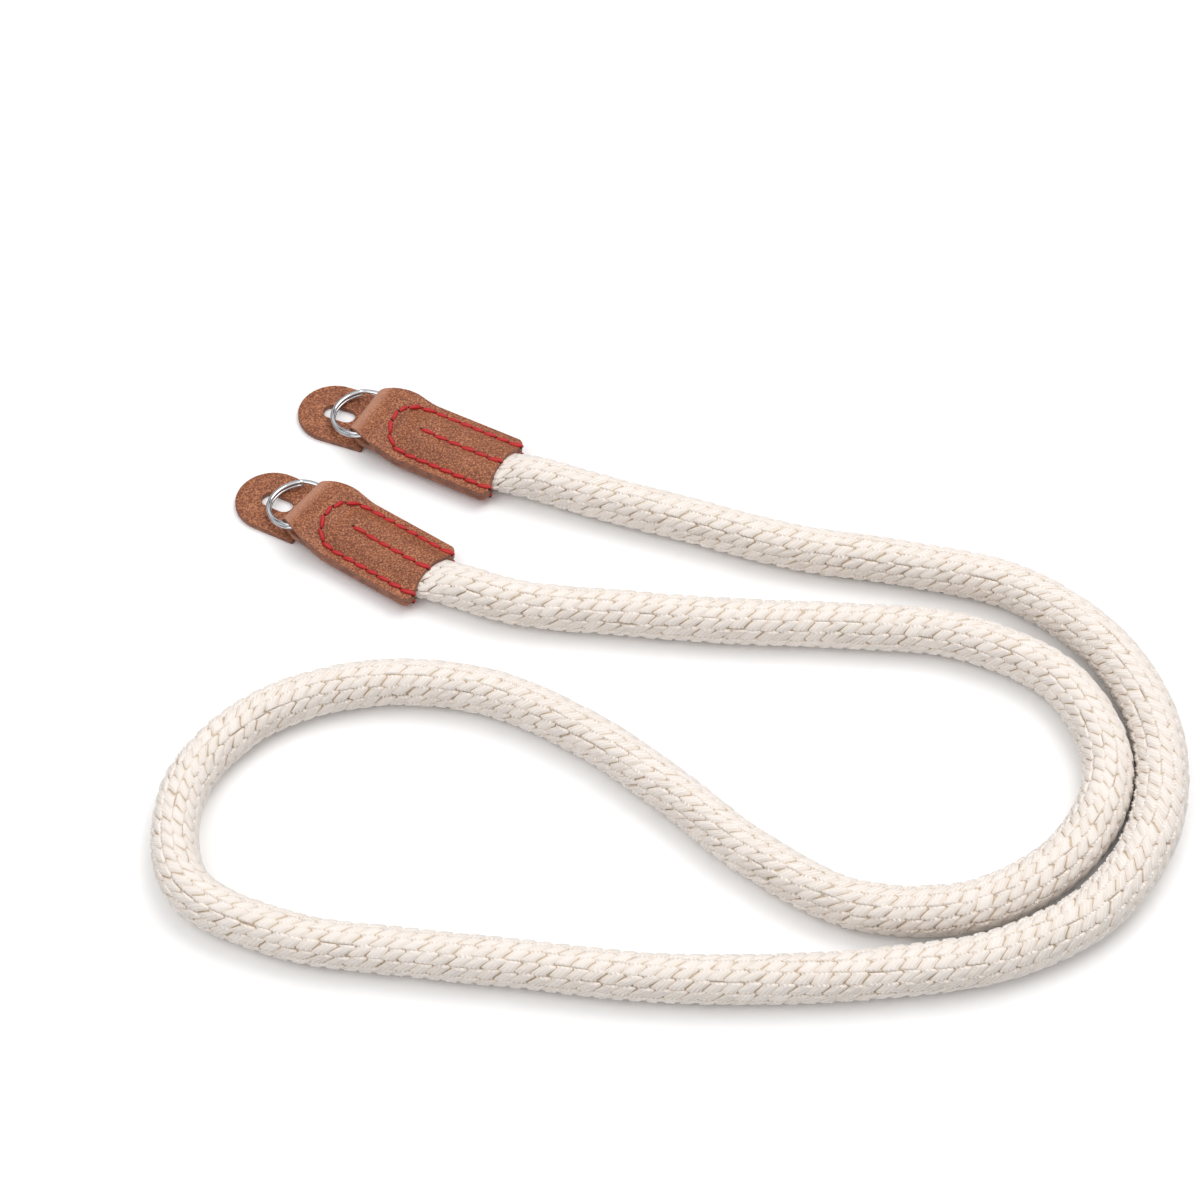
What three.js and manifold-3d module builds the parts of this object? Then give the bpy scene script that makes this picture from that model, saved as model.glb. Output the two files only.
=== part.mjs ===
// A neck strap for a camera: a round plaited cotton rope with a folded leather tab on each end.
// Each tab loops round a split ring, and a slotted leather pad lies under the ring.
// Millimetres, +Z up. The strap lies on a surface at z = 0, with the origin under the
// middle of the two leather ends.
import * as THREE from "three";
import { mergeVertices } from "three/addons/utils/BufferGeometryUtils.js";
import Module from "manifold-3d";

// Clearance between pieces that touch on the real strap
const GAP = 0.3;

// Rope, with its ends pressed flatter where the tabs are sewn over them
const ROPE_DIAMETER = 11;
const ROPE_INSERT = 24;
const ROPE_END_WIDTH = 13;
const ROPE_END_THICKNESS = 4.6;
const ROPE_ROUND_AGAIN = 12;
const ROPE_SIDES = 12;

// Leather tab: one strip, doubled over the ring
const LEATHER = 1.25;
const TAB_LENGTH = 40;
const TAB_WIDTH = 20;
const TAB_CORNER = 1.8;

// Split ring: two turns of wire
const RING_DIAMETER = 16.5;
const WIRE_WIDTH = 1.2;
const WIRE_THICKNESS = 0.85;
const TURN_GAP = 0.1;
const JOG_ANGLE = 20;
const RING_STEP = 10;
const RING_SPIN = 105;

// Pad under the ring
const PAD_THICKNESS = 1.5;
const PAD_WIDTH = 18;
const PAD_LENGTH = 20;
const PAD_TUCK = 3;
const PAD_TURN = 7;
const SLOT_LENGTH = 8.2;
const SLOT_WIDTH = 4.3;
const SLOT_FROM_END = 10.4;

// Where the middle of the two leather ends comes to lie, counted as the places below are
const ENDS_MIDDLE = { x: 1.16, y: 2.06 };

// Where each tab's mouth lies, and the way the rope leaves it, in degrees from +X
const END_A = { x: 15.1, y: -26.9, turn: -35.5 };
const END_B = { x: 31.9, y: 7.1, turn: -28.5 };

// Sizes that follow from those above
const ROPE_RADIUS = ROPE_DIAMETER / 2;
const POCKET_SIDE = ROPE_END_WIDTH / 2 + GAP;
const POCKET_RISE = ROPE_END_THICKNESS / 2 + GAP;
const HUMP_SIDE = POCKET_SIDE + LEATHER;
const HUMP = POCKET_RISE + LEATHER;
const RING_RADIUS = RING_DIAMETER / 2;
const RING_BORE = RING_RADIUS - WIRE_WIDTH;
const RING_HEIGHT = 2 * WIRE_THICKNESS + TURN_GAP;
const TUNNEL_HEIGHT = RING_HEIGHT + 2 * GAP;
const LOOP = TUNNEL_HEIGHT / 2 + LEATHER;
const TUNNEL_END = RING_RADIUS + GAP;
const LOOP_END = TUNNEL_END + LEATHER;
const FOLD_WIDTH = 2 * (Math.sqrt(RING_BORE ** 2 - LEATHER ** 2) - GAP);
const POCKET_START = TAB_LENGTH - ROPE_INSERT - GAP;
const FOLD_HEIGHT = PAD_THICKNESS + GAP + LOOP;
const ROPE_HEIGHT = HUMP;

// The ring slopes from the tab's fold down to the pad, and its lower rim stays a gap above it
const RING_DROP = FOLD_HEIGHT - PAD_THICKNESS - GAP;
const RING_CORNER = Math.hypot(RING_RADIUS, RING_HEIGHT / 2);
const RING_SLOPE = Math.asin(RING_DROP / RING_CORNER) - Math.atan(RING_HEIGHT / 2 / RING_RADIUS);

// The rope's route over the surface, from tab A to tab B
const ROUTE = [
  { x: 34.0, y: -35.2 },
  { x: 60.2, y: -38.8 },
  { x: 86.6, y: -41.4 },
  { x: 113.2, y: -42.8 },
  { x: 139.3, y: -46.1 },
  { x: 161.9, y: -59.8 },
  { x: 170.6, y: -85.5 },
  { x: 160.4, y: -109.2 },
  { x: 138.6, y: -123.3 },
  { x: 112.2, y: -123.3 },
  { x: 89.4, y: -109.2 },
  { x: 70.2, y: -90.6 },
  { x: 49.9, y: -73.7 },
  { x: 26.6, y: -62.0 },
  { x: 0.5, y: -60.3 },
  { x: -24.0, y: -69.8 },
  { x: -39.4, y: -91.2 },
  { x: -36.9, y: -118.1 },
  { x: -14.0, y: -131.3 },
  { x: 12.0, y: -135.8 },
  { x: 38.4, y: -139.1 },
  { x: 64.8, y: -142.5 },
  { x: 91.4, y: -143.1 },
  { x: 117.9, y: -141.4 },
  { x: 143.4, y: -136.6 },
  { x: 165.7, y: -123.8 },
  { x: 179.8, y: -101.3 },
  { x: 182.3, y: -74.4 },
  { x: 172.8, y: -49.5 },
  { x: 152.9, y: -31.3 },
  { x: 127.8, y: -23.7 },
  { x: 101.8, y: -18.5 },
  { x: 76.3, y: -9.8 },
  { x: 51.3, y: -1.0 },
];

// How the tab's outline and thickness run, as shares: width goes from the fold's to the
// full width, rise from the thin loop to the full pocket, and thin from the loop's
// thickness to two layers of leather
const LOOP_ROWS = [
  { along: 0.3, width: 0.05 },
  { along: 0.55, width: 0.38 },
  { along: 0.8, width: 0.75 },
  { along: 1, width: 0.92 },
];
const SLOPE_ROWS = [
  { along: 0.25, width: 0.99, rise: 0.2, thin: 0.5 },
  { along: 0.5, width: 1, rise: 0.6, thin: 1 },
  { along: 0.75, width: 1, rise: 0.9, thin: 1 },
  { along: 0.95, width: 1, rise: 1, thin: 1 },
];

const COTTON = new THREE.MeshStandardMaterial({ color: "#F1E6DA", roughness: 0.9, metalness: 0 });
const TAN_LEATHER = new THREE.MeshStandardMaterial({ color: "#A0684A", roughness: 0.6, metalness: 0 });
const STEEL = new THREE.MeshStandardMaterial({ color: "#C9CBCE", roughness: 0.2, metalness: 1 });

const wasm = await Module();
wasm.setup();

const radians = THREE.MathUtils.degToRad;
const mix = THREE.MathUtils.lerp;

// A closed body through rings of points, each ring with as many points as the next
function loft(rings) {
  const count = rings[0].length;
  const positions = rings.flat().flatMap((p) => [p.x, p.y, p.z]);
  const index = [];
  for (let r = 0; r + 1 < rings.length; r += 1) {
    for (let k = 0; k < count; k += 1) {
      const next = (k + 1) % count;
      const a = r * count + k;
      const b = r * count + next;
      index.push(a, a + count, b, b, a + count, b + count);
    }
  }
  const last = (rings.length - 1) * count;
  for (const [start, front] of [[0, true], [last, false]]) {
    for (let k = 1; k + 1 < count; k += 1) {
      const pair = front ? [start + k, start + k + 1] : [start + k + 1, start + k];
      index.push(start, ...pair);
    }
  }
  const geometry = new THREE.BufferGeometry();
  geometry.setAttribute("position", new THREE.Float32BufferAttribute(positions, 3));
  geometry.setIndex(index);
  return geometry;
}

function toSolid(geometry) {
  const bare = geometry.clone();
  bare.deleteAttribute("normal");
  bare.deleteAttribute("uv");
  const merged = mergeVertices(bare, 1e-4);
  const vertProperties = new Float32Array(merged.attributes.position.array);
  const triVerts = new Uint32Array(merged.index.array);
  return new wasm.Manifold(new wasm.Mesh({ numProp: 3, vertProperties, triVerts }));
}

function toGeometry(solid) {
  const mesh = solid.getMesh();
  const geometry = new THREE.BufferGeometry();
  geometry.setAttribute("position", new THREE.BufferAttribute(mesh.vertProperties, 3));
  geometry.setIndex(new THREE.BufferAttribute(mesh.triVerts, 1));
  geometry.computeVertexNormals();
  return geometry;
}

// One cross-section of a tab: a flange on each side of a hump that is arched above and below
function tabSection(x, halfWidth, halfThickness, halfHump, middle) {
  const humpWidth = halfWidth * (HUMP_SIDE / (TAB_WIDTH / 2));
  const upper = [[-halfWidth, halfThickness], [-humpWidth, halfThickness]];
  for (const angle of [150, 120, 90, 60, 30]) {
    const y = humpWidth * Math.cos(radians(angle));
    const z = mix(halfThickness, halfHump, Math.sin(radians(angle)));
    upper.push([y, z]);
  }
  upper.push([humpWidth, halfThickness], [halfWidth, halfThickness]);
  const lower = upper.map(([y, z]) => [y, -z]).reverse();
  return [...upper, ...lower].map(([y, z]) => new THREE.Vector3(x, y, middle + z));
}

// The tab runs along +X from its fold at x = 0 to its mouth, where the rope goes in
function tabRings() {
  const foldHalf = FOLD_WIDTH / 2;
  const fullHalf = TAB_WIDTH / 2;
  const slope = Math.tan(RING_SLOPE);
  const rings = [];
  for (const angle of [15, 35, 60]) {
    const x = LOOP * (1 - Math.cos(radians(angle)));
    const height = LOOP * Math.sin(radians(angle));
    rings.push(tabSection(x, foldHalf, height, height, FOLD_HEIGHT + x * slope));
  }
  for (const row of LOOP_ROWS) {
    const x = row.along * LOOP_END;
    const half = mix(foldHalf, fullHalf, row.width);
    rings.push(tabSection(x, half, LOOP, LOOP, FOLD_HEIGHT + x * slope));
  }
  const loopMiddle = FOLD_HEIGHT + LOOP_END * slope;
  for (const row of SLOPE_ROWS) {
    const x = mix(LOOP_END, POCKET_START, row.along);
    const half = mix(foldHalf, fullHalf, row.width);
    const thickness = mix(LOOP, LEATHER, row.thin);
    rings.push(tabSection(x, half, thickness, mix(LOOP, HUMP, row.rise), mix(loopMiddle, ROPE_HEIGHT, row.rise)));
  }
  rings.push(tabSection(TAB_LENGTH - TAB_CORNER, fullHalf, LEATHER, HUMP, ROPE_HEIGHT));
  rings.push(tabSection(TAB_LENGTH, fullHalf - TAB_CORNER, LEATHER, HUMP, ROPE_HEIGHT));
  return rings;
}

// The hollow in the fold that the ring runs through, open at both sides
function tunnel() {
  const round = TUNNEL_HEIGHT / 2;
  const shape = new THREE.Shape();
  shape.absarc(LEATHER + round, 0, round, Math.PI / 2, 1.5 * Math.PI);
  shape.lineTo(TUNNEL_END, -round);
  shape.lineTo(TUNNEL_END, round);
  shape.closePath();
  const depth = 2 * TAB_WIDTH;
  const geometry = new THREE.ExtrudeGeometry(shape, { depth, bevelEnabled: false, curveSegments: 6 });
  geometry.translate(0, 0, -depth / 2);
  geometry.rotateX(Math.PI / 2);
  geometry.rotateY(-RING_SLOPE);
  geometry.translate(0, 0, FOLD_HEIGHT);
  return geometry;
}

// The pocket that holds the rope's end, open at the mouth
function pocket() {
  const length = 2 * (TAB_LENGTH - POCKET_START);
  const geometry = new THREE.CylinderGeometry(1, 1, length, 24);
  geometry.rotateZ(Math.PI / 2);
  geometry.scale(1, POCKET_SIDE, POCKET_RISE);
  geometry.translate(POCKET_START + length / 2, 0, ROPE_HEIGHT);
  return geometry;
}

function leatherTab() {
  const body = toSolid(loft(tabRings()));
  return toGeometry(body.subtract(toSolid(tunnel())).subtract(toSolid(pocket())));
}

// Two turns of wire, one on the other. The wire steps up from the lower turn to the
// upper one over a short jog, and each cut end stops just short of that jog.
function splitRing() {
  const pitch = WIRE_THICKNESS + TURN_GAP;
  const middle = RING_RADIUS - WIRE_WIDTH / 2;
  const rings = [];
  for (let angle = JOG_ANGLE; angle <= 720 - JOG_ANGLE; angle += RING_STEP) {
    const climb = THREE.MathUtils.smoothstep(angle, 360 - JOG_ANGLE, 360 + JOG_ANGLE);
    const height = pitch * (climb - 0.5);
    const turn = radians(angle);
    const ring = [];
    for (const corner of [1, 3, 5, 7, 9, 11, 13, 15]) {
      const around = radians(corner * 22.5);
      const radius = middle + (WIRE_WIDTH / 2) * Math.cos(around) / Math.cos(radians(22.5));
      const z = height + (WIRE_THICKNESS / 2) * Math.sin(around) / Math.cos(radians(22.5));
      ring.push(new THREE.Vector3(radius * Math.cos(turn), radius * Math.sin(turn), z));
    }
    rings.push(ring);
  }
  const geometry = loft(rings);
  geometry.computeVertexNormals();
  return geometry;
}

// The pad has a round end, straight sides and a square end, with the slot on its middle line
function leatherPad() {
  const half = PAD_WIDTH / 2;
  const shape = new THREE.Shape();
  shape.absarc(half, 0, half, Math.PI / 2, 1.5 * Math.PI);
  shape.lineTo(PAD_LENGTH, -half);
  shape.lineTo(PAD_LENGTH, half);
  shape.closePath();
  const round = SLOT_WIDTH / 2;
  const reach = SLOT_LENGTH / 2 - round;
  const slot = new THREE.Path();
  slot.absarc(SLOT_FROM_END - reach, 0, round, Math.PI / 2, 1.5 * Math.PI);
  slot.absarc(SLOT_FROM_END + reach, 0, round, -Math.PI / 2, Math.PI / 2);
  slot.closePath();
  shape.holes.push(slot);
  const geometry = new THREE.ExtrudeGeometry(shape, {
    depth: PAD_THICKNESS, bevelEnabled: false, curveSegments: 16,
  });
  geometry.translate(PAD_TUCK - PAD_LENGTH, 0, 0);
  return geometry;
}

function named(name, geometry, material) {
  const mesh = new THREE.Mesh(geometry, material);
  mesh.name = name;
  return mesh;
}

// One leather end, with its mouth at the given place
function strapEnd(letter, end) {
  const group = new THREE.Group();
  group.add(named(`leather_tab_${letter}`, leatherTab(), TAN_LEATHER));
  const ring = named(`split_ring_${letter}`, splitRing(), STEEL);
  ring.position.z = FOLD_HEIGHT;
  ring.rotation.set(0, -RING_SLOPE, radians(RING_SPIN));
  group.add(ring);
  const pad = named(`leather_pad_${letter}`, leatherPad(), TAN_LEATHER);
  pad.rotation.z = radians(PAD_TURN);
  group.add(pad);
  const turn = radians(end.turn);
  group.rotation.z = turn;
  group.position.set(end.x - TAB_LENGTH * Math.cos(turn), end.y - TAB_LENGTH * Math.sin(turn), 0);
  return group;
}

// A point on the line of a tab's pocket, so far out of its mouth
function fromMouth(end, distance) {
  const turn = radians(end.turn);
  return { x: end.x + distance * Math.cos(turn), y: end.y + distance * Math.sin(turn) };
}

// Presses the rope flatter and wider at a tab. It is round again some way out of the mouth.
function flattenAt(end, geometry) {
  const turn = radians(end.turn);
  const intoTab = new THREE.Matrix4().makeRotationZ(turn).setPosition(end.x, end.y, 0).invert();
  const outOfTab = intoTab.clone().invert();
  const corners = geometry.attributes.position;
  const corner = new THREE.Vector3();
  for (let i = 0; i < corners.count; i += 1) {
    corner.fromBufferAttribute(corners, i).applyMatrix4(intoTab);
    if (corner.x > ROPE_ROUND_AGAIN || Math.abs(corner.y) > ROPE_END_WIDTH) continue;
    const round = THREE.MathUtils.smoothstep(corner.x, 0, ROPE_ROUND_AGAIN);
    corner.y *= mix(ROPE_END_WIDTH / ROPE_DIAMETER, 1, round);
    corner.z = (corner.z - ROPE_RADIUS) * mix(ROPE_END_THICKNESS / ROPE_DIAMETER, 1, round);
    corner.z += mix(ROPE_HEIGHT, ROPE_RADIUS, round);
    corners.setXYZ(i, ...corner.applyMatrix4(outOfTab).toArray());
  }
  return geometry;
}

function rope() {
  const step = ROPE_INSERT / 2;
  const inside = [-2 * step, -step, 0];
  const points = [
    ...inside.map((distance) => fromMouth(END_A, distance)),
    ...ROUTE,
    ...inside.reverse().map((distance) => fromMouth(END_B, distance)),
  ].map((p) => new THREE.Vector3(p.x, p.y, ROPE_RADIUS));
  const section = new THREE.Shape();
  for (let side = 0; side < ROPE_SIDES; side += 1) {
    const angle = (2 * Math.PI * (side + 0.5)) / ROPE_SIDES;
    const corner = [ROPE_RADIUS * Math.cos(angle), ROPE_RADIUS * Math.sin(angle)];
    if (side === 0) section.moveTo(...corner);
    else section.lineTo(...corner);
  }
  section.closePath();
  const path = new THREE.CatmullRomCurve3(points, false, "centripetal");
  const steps = Math.round(path.getLength() / step);
  const tube = new THREE.ExtrudeGeometry(section, { steps, bevelEnabled: false, extrudePath: path });
  return flattenAt(END_B, flattenAt(END_A, tube));
}

const strap = new THREE.Group();
strap.position.set(-ENDS_MIDDLE.x, -ENDS_MIDDLE.y, 0);
strap.add(named("rope", rope(), COTTON));
strap.add(strapEnd("a", END_A));
strap.add(strapEnd("b", END_B));

export default strap;
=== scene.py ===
import math

import bmesh
import bpy
import numpy as np
from mathutils import Matrix, Vector


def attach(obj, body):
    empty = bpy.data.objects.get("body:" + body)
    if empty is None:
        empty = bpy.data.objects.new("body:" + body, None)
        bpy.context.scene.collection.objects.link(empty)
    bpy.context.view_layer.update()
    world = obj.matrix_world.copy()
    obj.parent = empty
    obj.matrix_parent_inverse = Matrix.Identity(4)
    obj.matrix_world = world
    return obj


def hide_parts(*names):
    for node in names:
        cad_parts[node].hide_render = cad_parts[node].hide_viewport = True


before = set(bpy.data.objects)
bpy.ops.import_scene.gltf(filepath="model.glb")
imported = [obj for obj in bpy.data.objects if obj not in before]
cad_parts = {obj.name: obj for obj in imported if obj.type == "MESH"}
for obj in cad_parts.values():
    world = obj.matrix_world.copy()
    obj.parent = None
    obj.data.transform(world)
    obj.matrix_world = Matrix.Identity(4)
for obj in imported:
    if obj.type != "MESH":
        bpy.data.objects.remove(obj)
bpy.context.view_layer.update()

# Sizes are in millimetres, and each piece is brought to metres as it is placed
MM = 0.001

# Rope, whose length is in metres. Its ends are pressed flatter where the tabs are sewn
# over them, and it is round again some way outside. In its two right-hand bends it
# spreads: the place along it, the reach to either side and the share are given
ROPE_DIAMETER = 11.0
ROPE_INSERT = 24.0
ROPE_END_WIDTH = 13.0
ROPE_END_THICKNESS = 4.6
ROPE_ROUND_AGAIN = 12.0
FULL_BENDS = ((232.0, 55.0, 0.09), (735.0, 75.0, 0.13))
WIDER_THAN_HIGH = 1.04
CORE_INSET = 0.85

# Solid braid: its columns round the rope, the pitch of the floats in a column, and the
# share of it by which the next column is ahead. Then a float's lean along the rope, its
# depth and its yarns, and its half length and half width as shares of pitch and column.
# The braid runs some way into the pockets, and is made in sections of equal length
BRAID_COLUMNS = 12
BRAID_PITCH = 3.7
BRAID_SHIFT = 0.25
BRAID_LEAN = 0.75
BRAID_DEPTH = 1.25
BRAID_YARNS = 4
FLOAT_HALF_LENGTH = 0.55
FLOAT_HALF_WIDTH = 0.56
BRAID_INTO_POCKET = 8.0
BRAID_SECTIONS = 8

# The form of a float, in shares of its half size: how blunt and full it is, how deep
# the grooves between its yarns are, and how much lower its ends and one side lie
FLOAT_BLUNT = 2.2
FLOAT_FULL = 2.2
YARN_GROOVE = 0.32
FLOAT_END_DROP = 0.07
FLOAT_END_FROM = 0.6
FLOAT_TILT = 0.05

# How unevenly the floats lie, along and round the rope in millimetres, and in their
# lean and depth as shares. Then the braid's slow turns round the rope: each one's
# radians, its reach along the rope and its phase
STRAY_ALONG = 0.11
STRAY_ROUND = 0.16
STRAY_LEAN = 0.25
STRAY_DEPTH = 0.07
BRAID_TURNS = ((0.5, 95.0, 0.0), (0.25, 37.0, 1.0))

# Leather tab
LEATHER = 1.25
TAB_LENGTH = 40.0
TAB_WIDTH = 20.0
TAB_CORNER = 1.8
SHOULDER = 10.5
GAP = 0.3
EDGE_ROUNDING = 0.3

# Split ring
RING_DIAMETER = 16.5
WIRE_WIDTH = 1.2
WIRE_THICKNESS = 0.85
TURN_GAP = 0.1
JOG_ANGLE = 20.0
RING_SPIN = 105.0

# Pad
PAD_THICKNESS = 1.5
PAD_WIDTH = 18.0
PAD_LENGTH = 20.0
PAD_TUCK = 3.0
PAD_TURN = 7.0
SLOT_LENGTH = 8.2
SLOT_WIDTH = 4.3
SLOT_FROM_END = 10.4
PAD_POINTS = 25

# Rows of stitching, and how far the middle row and its thread pull the leather down,
# each with the half width of its dip
STITCH_PITCH = 3.4
STITCH_ROW = 7.7
STITCH_NOSE = 9.0
MIDDLE_ROW = 23.5
ROW_DIP = 0.65
ROW_DIP_HALF = 2.2
THREAD_DIP = 0.2
THREAD_DIP_HALF = 0.6
MOUTH_HOLLOW = 1.2
MOUTH_HOLLOW_REACH = 8.0

# One stitch. The thread's thickness, its bow over the leather and its sink into the
# holes, the stray of the pitch, the back tack and the needle hole are in millimetres,
# the slant and its stray are in degrees, and the rest are shares
THREAD = 1.05
THREAD_FLAT = 0.85
THREAD_SWELL = 0.08
THREAD_STRAY = 0.05
THREAD_BOW = 0.2
THREAD_SINK = 0.14
STITCH_BLUNT = 0.75
STITCH_OVERLAP = 1.08
STITCH_SLANT = 9.0
SLANT_STRAY = 2.0
PITCH_STRAY = 0.12
BACK_TACK = ((-2.4, 0.45, 0), (0.5, 0.3, 0))
NEEDLE_HOLE = 0.42
HOLE_STRETCH = (1.25, 1, 0.4)

# The lay of the strap: where the two ends' middle lies, each tab's mouth and its turn
# in degrees, and the rope's route over the surface from tab A to tab B
ENDS_MIDDLE = (1.16, 2.06)
ENDS = {"a": (15.1, -26.9, -35.5), "b": (31.9, 7.1, -28.5)}
ROUTE = (
    (34.0, -35.2), (60.2, -38.8), (86.6, -41.4), (113.2, -42.8), (139.3, -46.1), (161.9, -59.8),
    (170.6, -85.5), (160.4, -109.2), (138.6, -123.3), (112.2, -123.3), (89.4, -109.2), (70.2, -90.6),
    (49.9, -73.7), (26.6, -62.0), (0.5, -60.3), (-24.0, -69.8), (-39.4, -91.2), (-36.9, -118.1),
    (-14.0, -131.3), (12.0, -135.8), (38.4, -139.1), (64.8, -142.5), (91.4, -143.1), (117.9, -141.4),
    (143.4, -136.6), (165.7, -123.8), (179.8, -101.3), (182.3, -74.4), (172.8, -49.5), (152.9, -31.3),
    (127.8, -23.7), (101.8, -18.5), (76.3, -9.8), (51.3, -1.0),
)

# Sizes that follow from those above
ROPE_RADIUS = ROPE_DIAMETER / 2
POCKET_RISE = ROPE_END_THICKNESS / 2 + GAP
ROPE_HEIGHT = POCKET_RISE + LEATHER
RING_RADIUS = RING_DIAMETER / 2
RING_HALF = WIRE_THICKNESS + TURN_GAP / 2
LOOP = RING_HALF + GAP + LEATHER
FOLD_WIDTH = 2 * (math.sqrt((RING_RADIUS - WIRE_WIDTH) ** 2 - LEATHER ** 2) - GAP)
FOLD_HEIGHT = PAD_THICKNESS + GAP + LOOP
RING_SLOPE = math.asin(LOOP / math.hypot(RING_RADIUS, RING_HALF)) - math.atan(RING_HALF / RING_RADIUS)

# Seeded, so that the plait and the stitches come out the same each time
random = np.random.default_rng(11)


def smoothstep(value, low, high):
    """Rises from 0 at low to 1 at high, level at both ends."""
    t = np.clip((value - low) / (high - low), 0, 1)
    return t * t * (3 - 2 * t)


# Camera


def camera():
    """A long lens from 50 degrees above the surface, as the photograph was taken."""
    data = bpy.data.cameras.new("camera")
    data.lens = 120
    data.sensor_width = 36
    data.clip_start = 0.05
    data.clip_end = 20
    seen = bpy.data.objects.new("camera", data)
    bpy.context.scene.collection.objects.link(seen)
    seen.location = (0.05374, -0.64337, 0.72820)
    seen.rotation_euler = (math.radians(40), 0, 0)
    bpy.context.scene.camera = seen


camera()


# Materials


def linear(code):
    """An sRGB hex colour as linear red, green, blue and alpha."""
    parts = [int(code[i:i + 2], 16) / 255 for i in (1, 3, 5)]
    return [c / 12.92 if c <= 0.04045 else ((c + 0.055) / 1.055) ** 2.4 for c in parts] + [1]


def new_material(name):
    """A material with an empty tree but for its Principled shader."""
    made = bpy.data.materials.new(name)
    made.use_nodes = True
    return made, made.node_tree.nodes["Principled BSDF"]


def node(tree, kind, settings, **links):
    """Adds a node: settings name its properties or its inputs, links give the sockets that feed it."""
    made = tree.nodes.new(kind)
    for key, value in settings.items():
        if isinstance(key, str) and hasattr(made, key):
            setattr(made, key, value)
        else:
            made.inputs[key].default_value = value
    for key, socket in links.items():
        tree.links.new(socket, made.inputs[int(key[1:])])
    return made


def ramp(made, *stops):
    """Sets a colour ramp's stops, each a place and a colour."""
    elements = made.color_ramp.elements
    while len(elements) < len(stops):
        elements.new(0.5)
    for element, (place, colour) in zip(elements, stops):
        element.position = place
        element.color = linear(colour)
    return made


def cotton_yarn():
    """Soft-spun cotton: matt warm cream, darker as painted shade where it lies low between its yarns, with
    fine fibres along them.
    """
    made, shader = new_material("soft_spun_cotton")
    tree = made.node_tree
    shader.inputs["Roughness"].default_value = 0.95
    shader.inputs["Sheen Weight"].default_value = 0.3
    shader.inputs["Sheen Roughness"].default_value = 0.6
    place = node(tree, "ShaderNodeTexCoord", {})
    tone = node(tree, "ShaderNodeAttribute", {"attribute_name": "tone"})
    depth = node(tree, "ShaderNodeAttribute", {"attribute_name": "depth"})
    yarn = node(tree, "ShaderNodeAttribute", {"attribute_name": "yarn"})
    # Specks of loose fibre about 0.6 mm across, coarser than real lint so that they show
    speck = node(tree, "ShaderNodeTexNoise", {"Scale": 1600, "Detail": 3}, _0=place.outputs["Object"])
    # Lines about 0.5 mm apart, two to each yarn, coarser than its real fibres so that they show
    frayed = node(tree, "ShaderNodeMath", {"operation": "MULTIPLY_ADD", 1: 2 * math.pi * BRAID_YARNS},
                  _0=yarn.outputs["Fac"])
    stray = node(tree, "ShaderNodeMath", {"operation": "MULTIPLY", 1: 5.0}, _0=speck.outputs["Fac"])
    tree.links.new(stray.outputs[0], frayed.inputs[2])
    fibres = node(tree, "ShaderNodeMath", {"operation": "SINE"}, _0=frayed.outputs[0])
    lit = node(tree, "ShaderNodeMapRange", {3: 0.0, 4: 0.16}, _0=tone.outputs["Fac"])
    lines = node(tree, "ShaderNodeMath", {"operation": "MULTIPLY_ADD", 1: 0.17},
                 _0=fibres.outputs[0], _2=lit.outputs[0])
    # Painted shade: the lower a point lies in its float, the darker the cream, so the grooves between yarns
    # and the floats' edges darken
    mixed = node(tree, "ShaderNodeMath", {"operation": "ADD"}, _0=lines.outputs[0], _1=depth.outputs["Fac"])
    colour = ramp(node(tree, "ShaderNodeValToRGB", {}, _0=mixed.outputs[0]),
                  (0.1, "#D2C0A8"), (0.45, "#E8DACC"), (0.75, "#F2E8DF"), (1.0, "#F9F1EA"))
    tree.links.new(colour.outputs[0], shader.inputs["Base Color"])
    rough = node(tree, "ShaderNodeMath", {"operation": "MULTIPLY_ADD", 1: 0.5},
                 _0=fibres.outputs[0], _2=speck.outputs["Fac"])
    bump = node(tree, "ShaderNodeBump", {"Strength": 0.8, "Distance": 0.0002}, _2=rough.outputs[0])
    tree.links.new(bump.outputs[0], shader.inputs["Normal"])
    return made


def cotton_core():
    """The shaded cotton deep between the plaited yarns, a darker grey brown."""
    made, shader = new_material("shaded_cotton_core")
    shader.inputs["Roughness"].default_value = 1
    tree = made.node_tree
    place = node(tree, "ShaderNodeTexCoord", {})
    # Fluff about 1 mm across
    fluff = node(tree, "ShaderNodeTexNoise", {"Scale": 900, "Detail": 2}, _0=place.outputs["Object"])
    colour = ramp(node(tree, "ShaderNodeValToRGB", {}, _0=fluff.outputs["Fac"]),
                  (0.35, "#BFAF97"), (0.7, "#D6C8B4"))
    tree.links.new(colour.outputs[0], shader.inputs["Base Color"])
    return made


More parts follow.
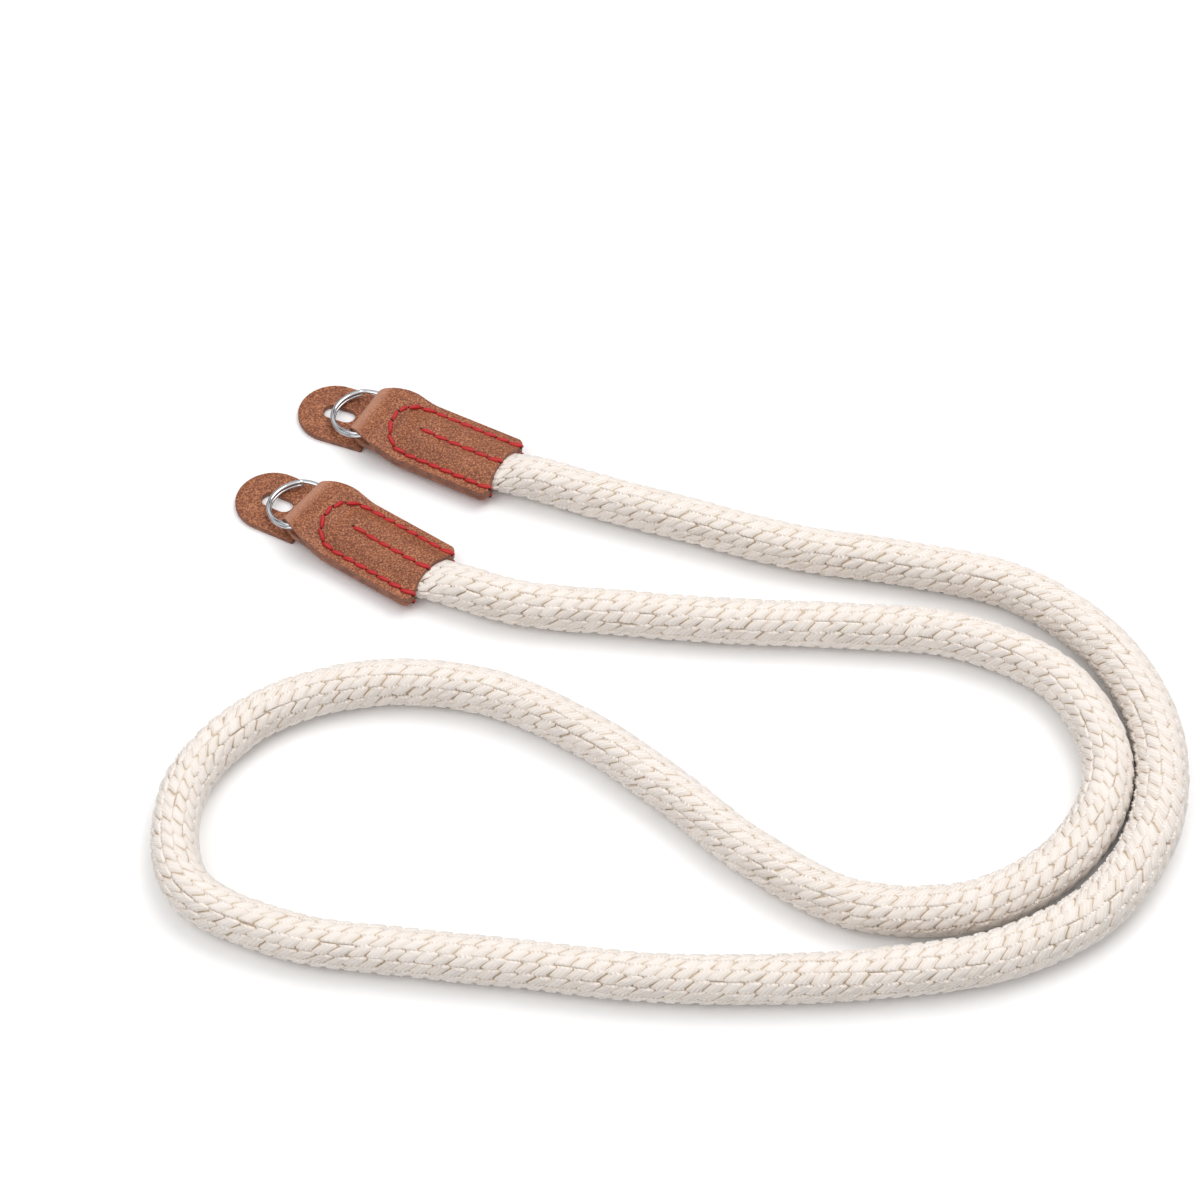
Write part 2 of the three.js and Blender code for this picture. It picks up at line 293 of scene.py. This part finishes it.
def tan_leather():
    """Vegetable-tanned leather with a fine sanded grain: satin, warm brown, finely speckled, and paler round
    the fold, partly where it is stretched and partly as a painted highlight where the rounded fold catches
    light."""
    made, shader = new_material("tan_leather")
    tree = made.node_tree
    shader.inputs["Roughness"].default_value = 0.62
    place = node(tree, "ShaderNodeTexCoord", {})
    # Blotches about 6 mm across from the tanning
    cloud = node(tree, "ShaderNodeTexNoise", {"Scale": 160, "Detail": 3}, _0=place.outputs["Object"])
    # Sanded grain about 0.4 mm across, coarser than the real nap so that it shows
    grain = node(tree, "ShaderNodeTexNoise", {"Scale": 2300, "Detail": 2, "Roughness": 0.6},
                 _0=place.outputs["Object"])
    mixed = node(tree, "ShaderNodeMath", {"operation": "MULTIPLY_ADD", 1: 0.85},
                 _0=grain.outputs["Fac"])
    share = node(tree, "ShaderNodeMath", {"operation": "MULTIPLY", 1: 0.15}, _0=cloud.outputs["Fac"])
    tree.links.new(share.outputs[0], mixed.inputs[2])
    colour = ramp(node(tree, "ShaderNodeValToRGB", {}, _0=mixed.outputs[0]),
                  (0.38, "#68351E"), (0.5, "#8C4E2E"), (0.62, "#B97A54"))
    # Paler along the fold: partly stretched leather, partly a painted highlight where the rounded fold
    # catches light
    pale = node(tree, "ShaderNodeAttribute", {"attribute_name": "stretch_and_highlight"})
    pale_and_highlit = node(tree, "ShaderNodeMix", {"data_type": "RGBA", 7: linear("#BF8A70")}, _0=pale.outputs["Fac"],
                _6=colour.outputs[0])
    tree.links.new(pale_and_highlit.outputs[2], shader.inputs["Base Color"])
    bump = node(tree, "ShaderNodeBump", {"Strength": 0.45, "Distance": 0.00012}, _2=grain.outputs["Fac"])
    tree.links.new(bump.outputs[0], shader.inputs["Normal"])
    return made


def edge_paint():
    """The cut edge of the leather, burnished and painted dark: smooth, with a low gloss."""
    made, shader = new_material("painted_leather_edge")
    tree = made.node_tree
    shader.inputs["Roughness"].default_value = 0.5
    place = node(tree, "ShaderNodeTexCoord", {})
    # Unevenness of the paint, about 2 mm across
    cloud = node(tree, "ShaderNodeTexNoise", {"Scale": 500, "Detail": 2}, _0=place.outputs["Object"])
    colour = ramp(node(tree, "ShaderNodeValToRGB", {}, _0=cloud.outputs["Fac"]),
                  (0.35, "#6F402B"), (0.65, "#925A40"))
    tree.links.new(colour.outputs[0], shader.inputs["Base Color"])
    return made


def waxed_thread():
    """Waxed polyester sewing thread: bright red with a soft gloss on its twist, and painted shade darkening
    the grooves between its plies.
    """
    made, shader = new_material("waxed_red_thread")
    tree = made.node_tree
    shader.inputs["Roughness"].default_value = 0.5
    place = node(tree, "ShaderNodeTexCoord", {})
    # The plies of the twist, about 0.4 mm apart along a stitch, with the grooves between them darker as
    # painted shade
    twist = node(tree, "ShaderNodeTexWave", {"bands_direction": "DIAGONAL", "Scale": 6, "Distortion": 0.5},
                 _0=place.outputs["UV"])
    colour = ramp(node(tree, "ShaderNodeValToRGB", {}, _0=twist.outputs["Fac"]),
                  (0.2, "#B8141A"), (0.7, "#F23430"))
    tree.links.new(colour.outputs[0], shader.inputs["Base Color"])
    bump = node(tree, "ShaderNodeBump", {"Strength": 0.5, "Distance": 0.0001}, _2=twist.outputs["Fac"])
    tree.links.new(bump.outputs[0], shader.inputs["Normal"])
    return made


def needle_hole():
    """The hole that the needle leaves, too deep to catch light."""
    made, shader = new_material("needle_hole_shade")
    shader.inputs["Base Color"].default_value = linear("#2A130C")
    shader.inputs["Roughness"].default_value = 1
    return made


def plated_steel():
    """Nickel-plated spring steel wire, tumbled bright: it mirrors what is round it almost sharply."""
    made, shader = new_material("nickel_plated_steel")
    tree = made.node_tree
    shader.inputs["Base Color"].default_value = linear("#CDCED1")
    shader.inputs["Metallic"].default_value = 1
    place = node(tree, "ShaderNodeTexCoord", {})
    # Faint scuffs from the tumbling, about 1.4 mm across
    scuff = node(tree, "ShaderNodeTexNoise", {"Scale": 700, "Detail": 3}, _0=place.outputs["Object"])
    gloss = node(tree, "ShaderNodeMapRange", {3: 0.03, 4: 0.09}, _0=scuff.outputs["Fac"])
    tree.links.new(gloss.outputs[0], shader.inputs["Roughness"])
    return made


def pale_floor():
    """A seamless matt white studio surface."""
    made, shader = new_material("matt_white_surface")
    tree = made.node_tree
    shader.inputs["Roughness"].default_value = 0.9
    place = node(tree, "ShaderNodeTexCoord", {})
    # Clouds about 300 mm across, hardly to be seen
    cloud = node(tree, "ShaderNodeTexNoise", {"Scale": 3}, _0=place.outputs["Object"])
    colour = ramp(node(tree, "ShaderNodeValToRGB", {}, _0=cloud.outputs["Fac"]),
                  (0.4, "#FBFBFB"), (0.6, "#FDFDFD"))
    tree.links.new(colour.outputs[0], shader.inputs["Base Color"])
    return made


COTTON = cotton_yarn()
CORE = cotton_core()
LEATHER_SKIN = tan_leather()
EDGE = edge_paint()
THREAD_RED = waxed_thread()
HOLE = needle_hole()
STEEL = plated_steel()


# Helpers for the pieces


def end_matrix(letter):
    """Takes a tab's own millimetres, with its fold at x = 0, to the strap's metres."""
    x, y, degrees = ENDS[letter]
    turn = math.radians(degrees)
    fold = Vector((x - ENDS_MIDDLE[0] - TAB_LENGTH * math.cos(turn),
                   y - ENDS_MIDDLE[1] - TAB_LENGTH * math.sin(turn), 0))
    return Matrix.Scale(MM, 4) @ Matrix.Translation(fold) @ Matrix.Rotation(turn, 4, "Z")


def finished(name, bm, materials, matrix):
    """Turns a bmesh in a tab's millimetres into a piece of the strap."""
    bmesh.ops.transform(bm, matrix=matrix, verts=bm.verts)
    mesh = bpy.data.meshes.new(name)
    bm.to_mesh(mesh)
    bm.free()
    return placed(name, mesh, materials)


def placed(name, mesh, materials):
    """Makes a mesh a smooth piece of the strap, which rides on its one body."""
    for material in materials:
        mesh.materials.append(material)
    mesh.shade_smooth()
    piece = bpy.data.objects.new(name, mesh)
    bpy.context.scene.collection.objects.link(piece)
    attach(piece, "root")
    return piece


def give_wall(piece, thickness, corner, even):
    """Gives a sheet of leather its thickness, with a painted rim. Edges sharper than the
    corner, in degrees, are rounded."""
    wall = piece.modifiers.new("wall", "SOLIDIFY")
    wall.thickness = thickness * MM
    wall.offset = 0
    wall.use_even_offset = even
    wall.material_offset_rim = 1
    edge = piece.modifiers.new("edge", "BEVEL")
    edge.width = EDGE_ROUNDING * MM
    edge.segments = 2
    edge.limit_method = "ANGLE"
    edge.angle_limit = math.radians(corner)


# Rope


def smooth_line(points, step):
    """Points about a step apart on the centripetal Catmull-Rom line through those given."""
    p = np.vstack([2 * points[0] - points[1], points, 2 * points[-1] - points[-2]])
    fine = []
    for a, b, c, d in zip(p, p[1:], p[2:], p[3:]):
        t1 = np.linalg.norm(b - a) ** 0.5
        t2 = t1 + np.linalg.norm(c - b) ** 0.5
        t3 = t2 + np.linalg.norm(d - c) ** 0.5
        t = np.linspace(t1, t2, 40, endpoint=False)[:, None]
        ab = (t1 - t) / t1 * a + t / t1 * b
        bc = (t2 - t) / (t2 - t1) * b + (t - t1) / (t2 - t1) * c
        cd = (t3 - t) / (t3 - t2) * c + (t - t2) / (t3 - t2) * d
        abc = (t2 - t) / t2 * ab + t / t2 * bc
        bcd = (t3 - t) / (t3 - t1) * bc + (t - t1) / (t3 - t1) * cd
        fine.append((t2 - t) / (t2 - t1) * abc + (t - t1) / (t2 - t1) * bcd)
    fine = np.vstack([*fine, points[-1:]])
    run = np.append(0, np.cumsum(np.linalg.norm(np.diff(fine, axis=0), axis=1)))
    along = np.linspace(0, run[-1], int(run[-1] / step) + 1)
    return along, np.column_stack([np.interp(along, run, column) for column in fine.T])


def rope_points():
    """The rope's line seen from above: straight in each pocket, and along the route between."""
    def in_pocket(letter, depth):
        x, y, degrees = ENDS[letter]
        turn = math.radians(degrees)
        return (x - depth * math.cos(turn), y - depth * math.sin(turn))

    depths = (ROPE_INSERT, ROPE_INSERT / 2, 0)
    points = [in_pocket("a", d) for d in depths] + list(ROUTE)
    points += [in_pocket("b", d) for d in reversed(depths)]
    return np.array(points) - ENDS_MIDDLE


# Tables with a row for each millimetre of the rope: its length so far, its line, its
# width and height against a round rope's, and the directions to its left and above
ALONG, LINE = smooth_line(rope_points(), 1.0)
OUT = (np.minimum(ALONG, ALONG[-1] - ALONG) - ROPE_INSERT) / ROPE_ROUND_AGAIN
ROUND = np.sin(math.pi / 2 * np.clip(OUT, 0, 1))
SWELL = 1 + sum(share * np.exp(-((ALONG - place) / reach) ** 2) for place, reach, share in FULL_BENDS)
WIDE = SWELL * WIDER_THAN_HIGH * (ROPE_END_WIDTH + (ROPE_DIAMETER - ROPE_END_WIDTH) * ROUND) / ROPE_DIAMETER
HIGH = SWELL * (ROPE_END_THICKNESS + (ROPE_DIAMETER - ROPE_END_THICKNESS) * ROUND) / ROPE_DIAMETER
LINE = np.column_stack([LINE, SWELL * (ROPE_HEIGHT + (ROPE_RADIUS - ROPE_HEIGHT) * ROUND)])
TANGENT = np.gradient(LINE, axis=0)
TANGENT /= np.linalg.norm(TANGENT, axis=1)[:, None]
LEFT = np.column_stack([-TANGENT[:, 1], TANGENT[:, 0], np.zeros(len(LINE))])
LEFT /= np.linalg.norm(LEFT, axis=1)[:, None]
ABOVE = np.cross(TANGENT, LEFT) * HIGH[:, None]
LEFT *= WIDE[:, None]


def on_rope(s, angle, radius):
    """Points at lengths s along the rope, at an angle round it from its left side up, and a radius."""
    def at(table):
        return np.column_stack([np.interp(s, ALONG, table[:, i]) for i in range(3)])

    side = np.cos(angle)[:, None] * at(LEFT) + np.sin(angle)[:, None] * at(ABOVE)
    return at(LINE) + radius[:, None] * side


def rope_core():
    """The rope's heart, which shows only as shade between the yarns. It carries the rope's own line."""
    curve = bpy.data.curves.new("rope_core", "CURVE")
    curve.dimensions = "3D"
    curve.bevel_depth = (ROPE_RADIUS - CORE_INSET) * MM
    curve.bevel_resolution = 6
    curve.use_fill_caps = True
    spline = curve.splines.new("POLY")
    spline.points.add(len(LINE[::3]) - 1)
    for point, place, share in zip(spline.points, LINE[::3] * MM, HIGH[::3]):
        point.co = (*place, 1)
        point.radius = share
    curve.materials.append(CORE)
    core = bpy.data.objects.new("rope_core", curve)
    bpy.context.scene.collection.objects.link(core)
    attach(core, "root")
    return core


def braid_float():
    """One float of the braid, on the square from -1 to 1: a closed pod with a ridge for
    each of its yarns. Its shape and faces are copied for every float of the rope."""
    bm = bmesh.new()
    bmesh.ops.create_grid(bm, x_segments=6, y_segments=2 * BRAID_YARNS, size=1)
    for v in bm.verts:
        x, y = v.co.x, v.co.y
        v.co.x = math.copysign(1 - (1 - abs(x)) ** FLOAT_BLUNT, x)
        ridge = 0.5 - 0.5 * math.cos(math.pi * BRAID_YARNS * (y + 1))
        crown = (1 - abs(y) ** FLOAT_FULL) ** 0.5 * (1 - YARN_GROOVE + YARN_GROOVE * ridge)
        end = FLOAT_END_DROP if abs(x) > FLOAT_END_FROM else 0.0
        v.co.z = 0 if v.is_boundary else (crown - end) * (1 - FLOAT_TILT + FLOAT_TILT * x)
    rim = [e for e in bm.edges if e.is_boundary]
    bmesh.ops.contextual_create(bm, geom=rim)
    bmesh.ops.recalc_face_normals(bm, faces=bm.faces)
    bm.verts.index_update()
    shape = np.array([v.co for v in bm.verts])
    faces = [[v.index for v in f.verts] for f in bm.faces]
    bm.free()
    return shape, faces


def braid_section(number, rows, shape, faces):
    """The floats of some rows of the solid braid. Each leans the same way, and its ends
    meet those of the next column."""
    pairs = [(row, column) for row in rows for column in range(BRAID_COLUMNS)]
    row, column = np.array(pairs, float).T
    count = len(pairs)
    width = 2 * math.pi * ROPE_RADIUS / BRAID_COLUMNS
    middle = (row + BRAID_SHIFT * column) * BRAID_PITCH + random.normal(0, STRAY_ALONG, count)
    lean = BRAID_LEAN * (1 + random.normal(0, STRAY_LEAN, count))
    height = BRAID_DEPTH * (1 - STRAY_DEPTH * np.abs(random.normal(0, 1, count)))
    u, v, h = (shape[:, i][None, :] for i in range(3))
    s = middle[:, None] + FLOAT_HALF_LENGTH * BRAID_PITCH * v + BRAID_SHIFT * BRAID_PITCH / 2 * u
    s = s + lean[:, None] * np.sin(math.pi * u)
    centre = column * width + random.normal(0, STRAY_ROUND, count)
    across = centre[:, None] + FLOAT_HALF_WIDTH * width * u
    turn = sum(share * np.sin(s / reach + phase) for share, reach, phase in BRAID_TURNS)
    angle = math.pi / 2 - across / ROPE_RADIUS + turn
    radius = ROPE_RADIUS - BRAID_DEPTH + height[:, None] * h
    hidden = ROPE_INSERT - BRAID_INTO_POCKET
    keep = (s.min(axis=1) > hidden) & (s.max(axis=1) < ALONG[-1] - hidden)
    s, angle, radius = (table[keep] for table in (s, angle, radius))
    points = on_rope(s.ravel(), angle.ravel(), radius.ravel()) * MM
    mesh = bpy.data.meshes.new(f"rope_braid_{number}")
    size = len(shape)
    polygons = [[i + f * size for i in face] for f in range(len(s)) for face in faces]
    mesh.from_pydata(points.tolist(), [], polygons)
    # Each float's random tone, its height within the float for the painted shade, and its place across the
    # yarns
    for name, values in (
        ("tone", np.repeat(random.random(len(s)), size)),
        ("depth", np.tile(shape[:, 2], len(s))),
        ("yarn", np.tile(shape[:, 1], len(s))),
    ):
        table = mesh.attributes.new(name, "FLOAT", "POINT")
        table.data.foreach_set("value", values.astype(np.float32))
    return placed(f"rope_braid_{number}", mesh, [COTTON])


def rope():
    """The whole rope: its core and the sections of its braid."""
    shape, faces = braid_float()
    last = int(ALONG[-1] / BRAID_PITCH) + 1
    first = -int(BRAID_SHIFT * BRAID_COLUMNS)
    edges = np.linspace(first, last, BRAID_SECTIONS + 1).astype(int)
    sections = [
        braid_section(n + 1, range(low, high), shape, faces)
        for n, (low, high) in enumerate(zip(edges, edges[1:]))
    ]
    core = rope_core()
    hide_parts("rope")


rope()


# Leather tabs

# How the strip lies: the bend of the fold, the two layers sewn flat, where the loop round the ring ends and
# closes, where the pocket is full and where it starts to rise, the height of its crest and its half width,
# and how pale the fold is made, partly for stretched leather and partly as a painted highlight, with how far
# before and past the end of the bend that fades
FOLD_RADIUS = LOOP - LEATHER / 2
FLANGE = LEATHER / 2 + 0.03
LOOP_END = RING_RADIUS + GAP + LEATHER
LOOP_CLOSES = (LOOP_END - 1.4, LOOP_END + 3.6)
POCKET_FULL = TAB_LENGTH - ROPE_INSERT - GAP
POCKET_NOSE = LOOP_END + 0.9
POCKET_CREST = POCKET_RISE - 0.4
HUMP_HALF = STITCH_ROW - 0.2
STRETCH_AND_HIGHLIGHT = 0.7
STRETCH_AND_HIGHLIGHT_FADES = (-0.5, 2.5)


def tab_half_width(x):
    """Half the tab's width at x: narrow at the fold, round shoulders, then straight to the mouth."""
    t = min(max(x / SHOULDER, 0), 1)
    half = FOLD_WIDTH / 2 + (TAB_WIDTH - FOLD_WIDTH) / 2 * math.sin(math.pi / 2 * t) ** 1.05
    over = max(x - (TAB_LENGTH - TAB_CORNER), 0)
    return half - (TAB_CORNER - math.sqrt(max(TAB_CORNER ** 2 - over ** 2, 0)))


def hump(y):
    """How far the pocket rises over the flat edges, at y from its middle."""
    t = min(abs(y) / HUMP_HALF, 1)
    return POCKET_CREST * (1 - t ** 3) ** 1.3


def layer_height(x, y):
    """How far the middle of each layer lies from the tab's middle plane."""
    from_ring = math.hypot(x, y)
    height = FOLD_RADIUS + (FLANGE - FOLD_RADIUS) * smoothstep(from_ring, *LOOP_CLOSES)
    if x > POCKET_NOSE:
        t = min((x - POCKET_NOSE) / (POCKET_FULL - POCKET_NOSE), 1)
        share = max(math.sqrt(1 - (1 - t) ** 2), 0.05)
        height += hump(y / share) * math.sin(math.pi / 2 * t) ** 1.2
    start = TAB_LENGTH - MIDDLE_ROW
    height -= ROW_DIP * smoothstep(x, start - 2, start + 6) * math.exp(-(y / ROW_DIP_HALF) ** 2)
    height -= THREAD_DIP * smoothstep(x, start - 1, start + 1) * math.exp(-(y / THREAD_DIP_HALF) ** 2)
    return height


def middle_height(x):
    """The height of the tab's middle plane, which slopes from the pocket down to the fold."""
    slope = math.tan(RING_SLOPE)
    loop = FOLD_HEIGHT + min(x, LOOP_END) * slope
    return loop + (ROPE_HEIGHT - loop) * smoothstep(x, LOOP_END - 3, POCKET_FULL)


def tab_leather(letter):
    """One strip of leather, from the lower edge of the mouth round the fold to the upper edge."""
    quarter = FOLD_RADIUS * math.pi / 2
    half_strip = TAB_LENGTH - LOOP + quarter
    pale_from, pale_to = (quarter + reach for reach in STRETCH_AND_HIGHLIGHT_FADES)
    bm = bmesh.new()
    bmesh.ops.create_grid(bm, x_segments=150, y_segments=44, size=1)
    stretch_and_highlight = bm.verts.layers.float.new("stretch_and_highlight")
    for v in bm.verts:
        run, across = v.co.x * half_strip, v.co.y
        # The pale band round the fold: partly stretched leather, partly a painted highlight
        v[stretch_and_highlight] = STRETCH_AND_HIGHLIGHT * (1 - smoothstep(abs(run), pale_from, pale_to))
        if abs(run) < quarter:
            angle = run / FOLD_RADIUS
            x = LOOP - FOLD_RADIUS * math.cos(angle)
            offset = FOLD_RADIUS * math.sin(angle)
            y = across * tab_half_width(x)
        else:
            x = LOOP + abs(run) - quarter
            y = across * tab_half_width(x)
            at_mouth = smoothstep(x, TAB_LENGTH - MOUTH_HOLLOW_REACH, TAB_LENGTH)
            x -= MOUTH_HOLLOW * at_mouth * max(1 - (y / HUMP_HALF) ** 2, 0)
            offset = math.copysign(layer_height(x, y), run)
        v.co = (x, y, middle_height(x) + offset)
    bmesh.ops.recalc_face_normals(bm, faces=bm.faces)
    piece = finished(f"tab_leather_{letter}", bm, [LEATHER_SKIN, EDGE], end_matrix(letter))
    give_wall(piece, LEATHER, corner=60, even=True)
    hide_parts(f"leather_tab_{letter}")


def stitch_lines():
    """The rows of stitches as lines of (x, y), each with how many of its ends are at the
    mouth: a U round the pocket, and the middle row."""
    depth = POCKET_FULL - 1 - STITCH_NOSE
    bend = STITCH_NOSE + depth
    side = [(x, STITCH_ROW) for x in np.linspace(TAB_LENGTH - 0.1, bend, 30)]
    turn = [(bend - depth * math.sin(a), STITCH_ROW * math.cos(a)) for a in np.linspace(0, math.pi, 40)[1:-1]]
    u_line = side + turn + [(x, -y) for x, y in reversed(side)]
    middle = [(x, 0.0) for x in np.linspace(TAB_LENGTH - MOUTH_HOLLOW - 0.2, TAB_LENGTH - MIDDLE_ROW, 40)]
    return (np.array(u_line), 2), (np.array(middle), 1)


def stitches(letter):
    """Sews both sides of a tab. Each stitch is a short thread that dips at both ends into
    its needle holes."""
    threads = bmesh.new()
    holes = bmesh.new()
    for line, ends_at_mouth in stitch_lines():
        run = np.append(0, np.cumsum(np.linalg.norm(np.diff(line, axis=0), axis=1)))
        count = round(run[-1] / STITCH_PITCH)
        ends = np.linspace(0, run[-1], count + 1)
        ends[1:-1] += random.normal(0, PITCH_STRAY, count - 1)
        xs = np.interp(ends, run, line[:, 0])
        ys = np.interp(ends, run, line[:, 1])
        for side in (1, -1):
            points = [Vector((x, y, middle_height(x) + side * (layer_height(x, y) + LEATHER / 2)))
                      for x, y in zip(xs, ys)]
            for a, b in zip(points, points[1:]):
                add_stitch(threads, a, b, side)
            for p in points:
                made = bmesh.ops.create_uvsphere(holes, u_segments=10, v_segments=6, radius=NEEDLE_HOLE)
                bmesh.ops.scale(holes, vec=HOLE_STRETCH, verts=made["verts"])
                bmesh.ops.translate(holes, vec=p, verts=made["verts"])
            for mouth in (points[0], points[-1])[:ends_at_mouth]:
                add_back_tack(threads, mouth, side)
    for name, bm, material in (("stitching", threads, THREAD_RED), ("needle_holes", holes, HOLE)):
        piece = finished(f"{name}_{letter}", bm, [material], end_matrix(letter))


def add_back_tack(bm, mouth, side):
    """Adds the second pass of thread over a row's last stitch, out to the edge of the mouth."""
    start, end = (mouth + Vector(step) for step in BACK_TACK)
    add_stitch(bm, start, end, side)


def add_stitch(bm, a, b, side):
    """Adds the thread from one needle hole to the next, bowed up over the leather."""
    along = b - a
    made = bmesh.ops.create_uvsphere(bm, u_segments=10, v_segments=10, radius=1, calc_uvs=True)
    verts = made["verts"]
    bmesh.ops.rotate(bm, matrix=Matrix.Rotation(math.pi / 2, 3, "Y"), verts=verts)
    half = along.length / 2
    plump = 1 + random.normal(0, THREAD_STRAY)
    for v in verts:
        t = v.co.x
        thick = THREAD / 2 * plump * (1 + THREAD_SWELL * math.cos(math.pi * t))
        lift = THREAD_BOW * (1 - t * t) - THREAD_SINK * t ** 4
        reach = math.copysign(abs(t) ** STITCH_BLUNT, t) * half * STITCH_OVERLAP
        v.co = (reach, v.co.y * thick, v.co.z * thick * THREAD_FLAT + lift * side)
    turn = along.to_track_quat("X", "Z").to_matrix()
    slant = Matrix.Rotation(math.radians(STITCH_SLANT + random.normal(0, SLANT_STRAY)), 3, "Z")
    bmesh.ops.transform(bm, matrix=(turn @ slant).to_4x4(), verts=verts)
    bmesh.ops.translate(bm, vec=(a + b) / 2, verts=verts)


# Split rings


def split_ring(letter):
    """Two flat turns of oval wire, one on the other, with a short jog between and both cut ends showing."""
    pitch = WIRE_THICKNESS + TURN_GAP
    bm = bmesh.new()
    made = bmesh.ops.create_circle(bm, cap_ends=True, segments=20, radius=0.5)
    verts = made["verts"]
    bmesh.ops.scale(bm, vec=(WIRE_WIDTH, WIRE_THICKNESS, 1), verts=verts)
    bmesh.ops.rotate(bm, matrix=Matrix.Rotation(math.pi / 2, 3, "X"), verts=verts)
    place = Vector((RING_RADIUS - WIRE_WIDTH / 2, 0, -pitch / 2))
    bmesh.ops.translate(bm, vec=place, verts=verts)
    bmesh.ops.rotate(bm, matrix=Matrix.Rotation(math.radians(JOG_ANGLE), 3, "Z"), verts=verts)
    face = list(bm.faces)
    flat_turn = (360 - 2 * JOG_ANGLE, 0, 96)
    jog = (2 * JOG_ANGLE, pitch, 16)
    for degrees, rise, steps in (flat_turn, jog, flat_turn):
        swept = bmesh.ops.spin(bm, geom=face, cent=(0, 0, 0), axis=(0, 0, 1), dvec=(0, 0, rise / steps),
                               angle=math.radians(degrees), steps=steps, use_merge=False)
        face = [g for g in swept["geom_last"] if isinstance(g, bmesh.types.BMFace)]
    bmesh.ops.remove_doubles(bm, verts=bm.verts, dist=1e-4)
    bmesh.ops.recalc_face_normals(bm, faces=bm.faces)
    matrix = (
        end_matrix(letter)
        @ Matrix.Translation((0, 0, FOLD_HEIGHT))
        @ Matrix.Rotation(-RING_SLOPE, 4, "Y")
        @ Matrix.Rotation(math.radians(RING_SPIN), 4, "Z")
    )
    piece = finished(f"split_ring_wire_{letter}", bm, [STEEL], matrix)
    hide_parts(f"split_ring_{letter}")


# Pads


def pad_loop(bm, low, high, half, square):
    """A closed loop of edges from x = low to x = high, with a half circle at its low end,
    and a square end or another half circle at its high end."""
    points = []
    for i in range(PAD_POINTS):
        a = math.pi / 2 + math.pi * i / (PAD_POINTS - 1)
        points.append((low + half + half * math.cos(a), half * math.sin(a)))
    for i in range(PAD_POINTS):
        a = -math.pi / 2 + math.pi * i / (PAD_POINTS - 1)
        if square:
            points.append((high, -half + 2 * half * i / (PAD_POINTS - 1)))
        else:
            points.append((high - half + half * math.cos(a), half * math.sin(a)))
    verts = [bm.verts.new((x, y, 0)) for x, y in points]
    return [bm.edges.new((a, b)) for a, b in zip(verts, verts[1:] + verts[:1])]


def leather_pad(letter):
    """A slotted pad of the same leather, lying flat, with its painted edge rounded over."""
    bm = bmesh.new()
    start = PAD_TUCK - PAD_LENGTH
    middle = start + SLOT_FROM_END
    outer = pad_loop(bm, start, PAD_TUCK, PAD_WIDTH / 2, square=True)
    slot = pad_loop(bm, middle - SLOT_LENGTH / 2, middle + SLOT_LENGTH / 2, SLOT_WIDTH / 2, square=False)
    bmesh.ops.bridge_loops(bm, edges=outer + slot)
    bmesh.ops.subdivide_edges(
        bm, edges=[e for e in bm.edges if len(e.link_faces) == 2], cuts=3, use_grid_fill=True)
    bmesh.ops.recalc_face_normals(bm, faces=bm.faces)
    bmesh.ops.translate(bm, vec=(0, 0, PAD_THICKNESS / 2), verts=bm.verts)
    matrix = end_matrix(letter) @ Matrix.Rotation(math.radians(PAD_TURN), 4, "Z")
    piece = finished(f"pad_leather_{letter}", bm, [LEATHER_SKIN, EDGE], matrix)
    give_wall(piece, PAD_THICKNESS, corner=50, even=False)
    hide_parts(f"leather_pad_{letter}")


for end in ENDS:
    tab_leather(end)
    stitches(end)
    split_ring(end)
    leather_pad(end)


# Floor and light


def floor():
    """The surface that the strap lies on, which isn't part of it."""
    bm = bmesh.new()
    bmesh.ops.create_grid(bm, x_segments=1, y_segments=1, size=6)
    mesh = bpy.data.meshes.new("floor")
    bm.to_mesh(mesh)
    bm.free()
    mesh.materials.append(pale_floor())
    laid = bpy.data.objects.new("floor", mesh)
    bpy.context.scene.collection.objects.link(laid)


def soft_light(name, place, size, power):
    """A round lamp, in metres and watts, that points at the middle of the strap."""
    data = bpy.data.lights.new(name, "AREA")
    data.shape = "DISK"
    data.size = size
    data.energy = power
    lamp = bpy.data.objects.new(name, data)
    bpy.context.scene.collection.objects.link(lamp)
    lamp.location = place
    aim = Vector((0.06, -0.06, 0)) - Vector(place)
    lamp.rotation_euler = aim.to_track_quat("-Z", "Y").to_euler()


def world_light():
    """White light from all round, dark near the horizon and in a band about 40 degrees
    up, which gives the steel something to mirror."""
    world = bpy.data.worlds.new("studio")
    world.use_nodes = True
    tree = world.node_tree
    around = node(tree, "ShaderNodeTexCoord", {})
    height = node(tree, "ShaderNodeSeparateXYZ", {}, _0=around.outputs["Generated"])
    colour = ramp(node(tree, "ShaderNodeValToRGB", {}, _0=height.outputs[2]),
                  (0.1, "#0C0C0E"), (0.32, "#A4A6AA"), (0.5, "#FFFFFF"), (0.64, "#26262A"), (0.74, "#FFFFFF"))
    tree.links.new(colour.outputs[0], tree.nodes["Background"].inputs[0])
    tree.nodes["Background"].inputs[1].default_value = 1.04
    bpy.context.scene.world = world
    bpy.context.scene.view_settings.view_transform = "Standard"


floor()
soft_light("key_light", (0.5, 0.4, 1.2), 1.1, 7)
soft_light("fill_light", (-0.6, -0.5, 1.1), 0.9, 3)
world_light()
